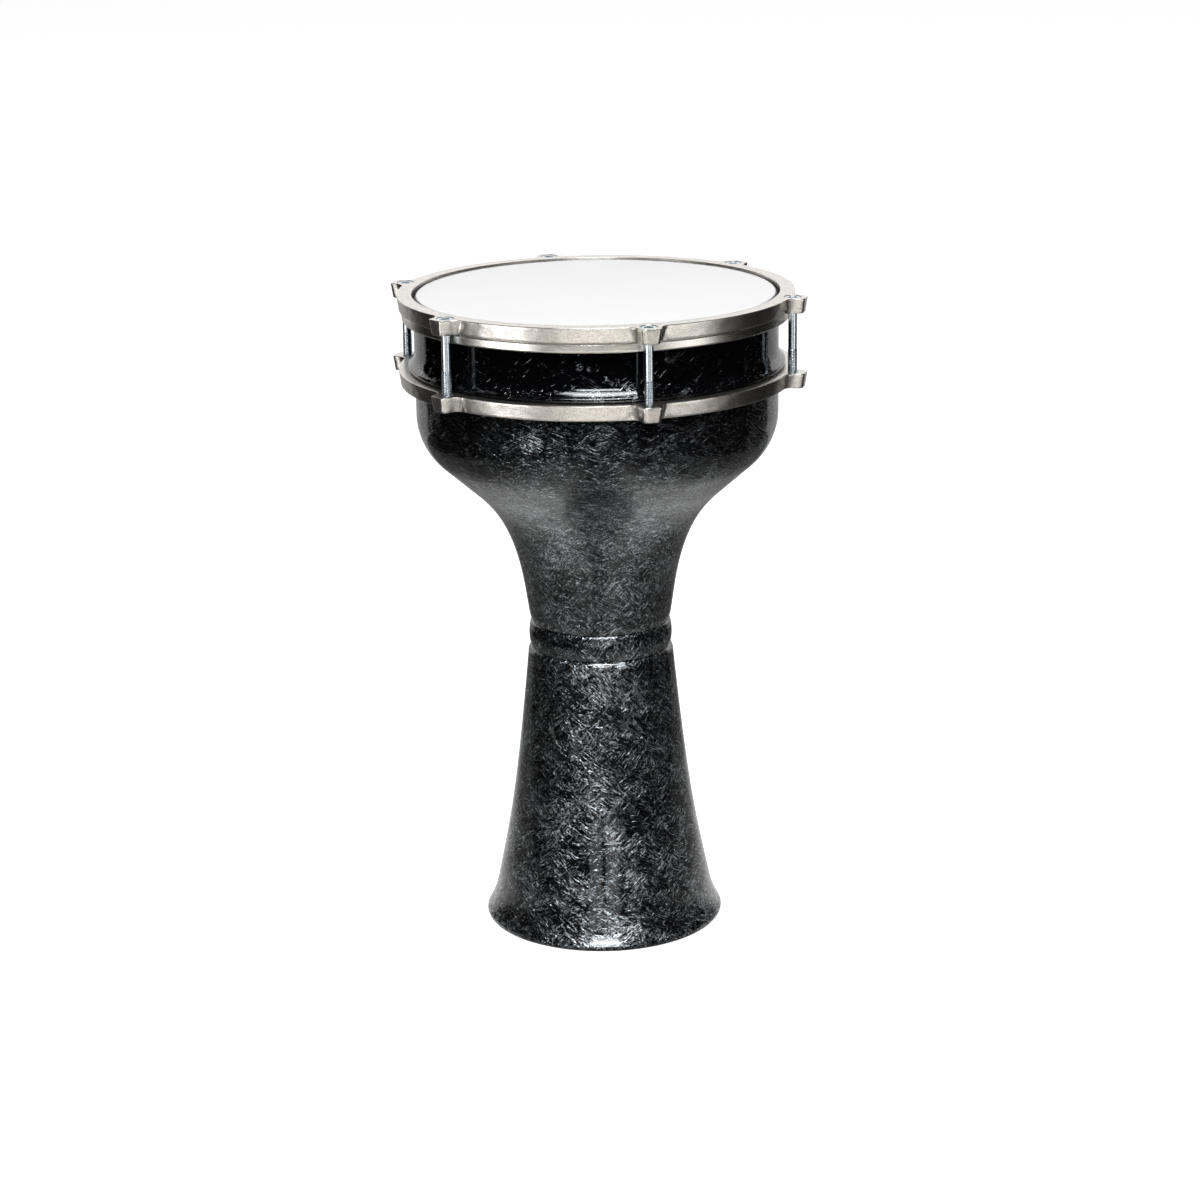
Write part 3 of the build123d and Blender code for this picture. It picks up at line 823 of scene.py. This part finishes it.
def screw(name, spot, turn):
    """Socket head cap screw with a real thread; z is 0 under the head."""
    seg = 48
    angs = [2 * math.pi * k / seg for k in range(seg)]
    rings = []  # (list of radii, z)

    def circle(r, z):
        rings.append(([r] * seg, z))

    low = -SCREW_L
    circle(1.6, low)
    circle(2.2, low + 0.02)
    n = int(THREAD_L * THREAD_ROWS)
    for i in range(n + 1):
        z = low + 0.1 + (THREAD_L - 0.1) * i / n
        rings.append(([thread_radius(a, z, low, low + THREAD_L) for a in angs], z))
    for z in SHANK_Z:
        circle(SHANK_R, z)
    circle(SHANK_R + 0.12, -0.35)
    circle(SHANK_R + 0.42, -0.02)
    circle(4.5, -0.02)
    circle(4.85, 0.04)
    circle(HEAD_R, 0.25)
    for z in (1.5, 3.0, 4.5):
        circle(HEAD_R, z)
    for k in range(5):
        a = math.pi / 2 * k / 4
        circle(HEAD_R - HEAD_EDGE * (1 - math.cos(a)), HEAD_H - HEAD_EDGE + HEAD_EDGE * math.sin(a))
    circle(4.0, HEAD_H)
    circle(3.35, HEAD_H)
    circle(3.12, HEAD_H - 0.12)
    flats = [hexagon(a) for a in angs]
    rings.append(([f + 0.08 for f in flats], HEAD_H - 0.30))
    rings.append((flats, HEAD_H - 0.5))
    rings.append((flats, HEAD_H - HEX_DEPTH))
    circle(2.1, HEAD_H - HEX_DEPTH - 0.15)
    circle(1.0, HEAD_H - HEX_DEPTH - 0.6)
    verts, faces = [(0.0, 0.0, low * MM)], []
    for radii, z in rings:
        for a, r in zip(angs, radii):
            verts.append((r * math.cos(a) * MM, r * math.sin(a) * MM, z * MM))
    verts.append((0.0, 0.0, (HEAD_H - HEX_DEPTH - 0.8) * MM))
    last = len(verts) - 1
    for k in range(seg):
        k2 = (k + 1) % seg
        faces.append((0, 1 + k2, 1 + k))
        for i in range(len(rings) - 1):
            a, b = 1 + i * seg, 1 + (i + 1) * seg
            faces.append((a + k, a + k2, b + k2, b + k))
        e = 1 + (len(rings) - 1) * seg
        faces.append((e + k, e + k2, last))
    mesh = bpy.data.meshes.new(name)
    mesh.from_pydata(verts, [], faces)
    mesh.transform(Matrix.Translation(spot) @ Matrix.Rotation(turn, 4, "Z"))
    return new_object(name, mesh, 45.0)


screws = []
for i, (a, spot) in enumerate(screw_spots(HEAD_SEAT)):
    ob = screw(f"tension_screw_{i + 1}_zinc", spot, a + 0.37 + 1.31 * i)
    screws.append(finish_piece(ob, f"screw_{i + 1}", f"tension_screw_{i + 1}", "screw_zinc", zinc_mat))

# ---------------------------------------------------------------- camera
cam_data = bpy.data.cameras.new("camera")
cam_data.sensor_width = 36.0
cam_data.lens = 88.32
cam_data.clip_start, cam_data.clip_end = 0.05, 60.0
cam = bpy.data.objects.new("camera", cam_data)
bpy.context.scene.collection.objects.link(cam)
PITCH_DOWN, ROLL = 0.2892, 0.01448  # radians
cam.matrix_world = (
    Matrix.Translation((-0.0001, -1.8196, 0.7539))
    @ Matrix.Rotation(math.pi / 2 - PITCH_DOWN, 4, "X")
    @ Matrix.Rotation(-ROLL, 4, "Z")
)
bpy.context.scene.camera = cam


# ---------------------------------------------------------------- floor and light
def stage_mesh(name, verts, faces, mat):
    mesh = bpy.data.meshes.new(name)
    mesh.from_pydata(verts, [], faces)
    ob = bpy.data.objects.new(name, mesh)
    bpy.context.scene.collection.objects.link(ob)
    mesh.materials.append(mat)
    for p in mesh.polygons:
        p.use_smooth = True
    return ob


def paper(name, glow):
    """White paper sweep, faintly mottled."""
    t = Tree(name)
    f = t.noise(t.place, 3.0, 2.0, 0.5)
    t.set(Base_Color=t.mix(f, (0.90, 0.90, 0.90, 1), (0.93, 0.93, 0.925, 1)), Roughness=0.8)
    t.set(Specular_IOR_Level=0.1, Emission_Color=(1, 1, 1, 1), Emission_Strength=glow)
    return t.mat


def card(name, verts, level):
    """A lit white card that only shows in reflections. level: a function that builds its brightness."""
    t = Tree(name)
    t.set(Base_Color=(0, 0, 0, 1), Specular_IOR_Level=0.0)
    t.set(Emission_Color=(1, 1, 1, 1), Emission_Strength=level(t))
    ob = stage_mesh(name, verts, [(0, 1, 2, 3)], t.mat)
    ob.visible_camera = ob.visible_diffuse = ob.visible_shadow = False
    return ob


def floor_level(t):
    """Brightest beside the drum, darker straight in front of it, far from it and out to the sides."""
    x, y, _ = t.xyz(t.place)
    aside = t.math("ABSOLUTE", x)
    level = t.ramp(t.vec("LENGTH", t.place), 0.1, 0.6, 0.76, 0.34)
    level = t.math("MULTIPLY", level, t.ramp(aside, 0.10, 0.32, 1.0, 0.3))
    level = t.math("MULTIPLY", level, t.ramp(aside, 0.05, 0.075, 0.35, 1.0))
    return t.math("MULTIPLY", level, t.ramp(y, -0.78, -0.5))


def back_level(t):
    """Brighter higher up."""
    return t.ramp(t.xyz(t.place)[2], 0.1, 0.6, 0.42, 1.13)


FLOOR_HALF, BACK_Y = 9.0, 0.75
floor = stage_mesh(
    "stage_floor",
    [(sx * FLOOR_HALF, sy * FLOOR_HALF, 0) for sx, sy in ((-1, -1), (1, -1), (1, 1), (-1, 1))],
    [(0, 1, 2, 3)], paper("stage_paper", 0.97),
)
floor.visible_glossy = False
card(
    "card_floor",
    [(x, y, 0.0006) for x, y in ((-0.55, -0.8), (0.55, -0.8), (0.55, BACK_Y), (-0.55, BACK_Y))],
    floor_level,
)
card(
    "card_back",
    [(x, BACK_Y, z) for x, z in ((-0.86, 0), (0.86, 0), (0.86, 1.9), (-0.86, 1.9))],
    back_level,
)


def area(name, at, to, size, watts, colour=(1, 1, 1), only=None):
    """A soft light at a place, turned to a point. only: a collection, when it lights nothing else."""
    data = bpy.data.lights.new(name, "AREA")
    data.shape = "RECTANGLE"
    data.size, data.size_y = size
    data.energy = watts
    data.color = colour
    ob = bpy.data.objects.new(name, data)
    ob.location = at
    ob.rotation_euler = (Vector(to) - Vector(at)).to_track_quat("-Z", "Y").to_euler()
    bpy.context.scene.collection.objects.link(ob)
    if only:
        ob.light_linking.receiver_collection = only
    return ob


def group(name, *obs):
    """A collection for a light that is meant for these pieces only."""
    collection = bpy.data.collections.new(name)
    for ob in obs:
        collection.objects.link(ob)
    return collection


metals = group("metal_parts", hoop, ring, flesh, *screws)
shells = group("shell_parts", bowl, foot, collar)
low_shells = group("foot_and_collar", foot, collar)

area("shell_key", (0.05, -2.4, 1.6), (0, 0, 0.2), (1.15, 0.5), 21.0, (0.91, 0.955, 1.0), shells)
area("shell_overhead", (0.08, -1.02, 1.52), (0, 0, 0.25), (1.15, 0.45), 23.0, (0.96, 0.98, 1.0), shells)
for x, colour in ((-0.27, (0.94, 0.97, 1.0)), (0.27, (0.92, 0.96, 1.0))):
    area(f"shell_front_{x}", (x, -1.7, 0.28), (0, 0, 0.15), (0.40, 0.55), 0.85, colour, low_shells)
area("key_overhead", (0.08, -0.79, 1.75), (0, 0, 0.35), (0.8, 0.5), 17.0, (0.97, 0.985, 1.0))
area("key_front", (0.0, -2.7, 1.55), (0, 0, 0.3), (1.3, 0.4), 16.0, (0.95, 0.975, 1.0))
for x in (-1.7, 1.7):
    area(f"side_{x}", (x, -1.5, 1.1), (0, 0, 0.3), (1.0, 1.0), 3.0).visible_glossy = False
area("strip_front", (0.0, -2.7, 0.9), (0, 0, 0.3), (0.10, 1.3), 0.7, (0.7, 0.84, 1.0))
area("metal_front", (0.0, -1.0, 0.03), (0, 0, 0.38), (0.9, 0.35), 1.45, (1.0, 0.97, 0.92), metals)
area("metal_left", (-0.95, -0.75, 0.2), (0, 0, 0.36), (0.55, 0.7), 4.6, (1, 0.995, 0.98), metals)
area("metal_right", (0.95, -0.75, 0.2), (0, 0, 0.36), (0.55, 0.7), 2.2, (1, 0.99, 0.965), metals)
area("metal_floor", (0.08, -0.68, 0.02), (0.08, -0.68, 1.0), (1.05, 0.4), 0.8, (1.0, 0.97, 0.92), metals)
soft = area("ambient", (0, 0, 3.2), (0, 0, 0), (4.0, 4.0), 34.0)
soft.visible_glossy = False

world = bpy.data.worlds.new("world")
world.use_nodes = True
sky = world.node_tree.nodes["Background"]
sky.inputs["Color"].default_value = (1.0, 1.0, 1.0, 1)
sky.inputs["Strength"].default_value = 1.0
bpy.context.scene.world = world
world.cycles_visibility.glossy = False
world.cycles_visibility.diffuse = False
bpy.context.scene.view_settings.view_transform = "Standard"
bpy.context.scene.view_settings.look = "None"
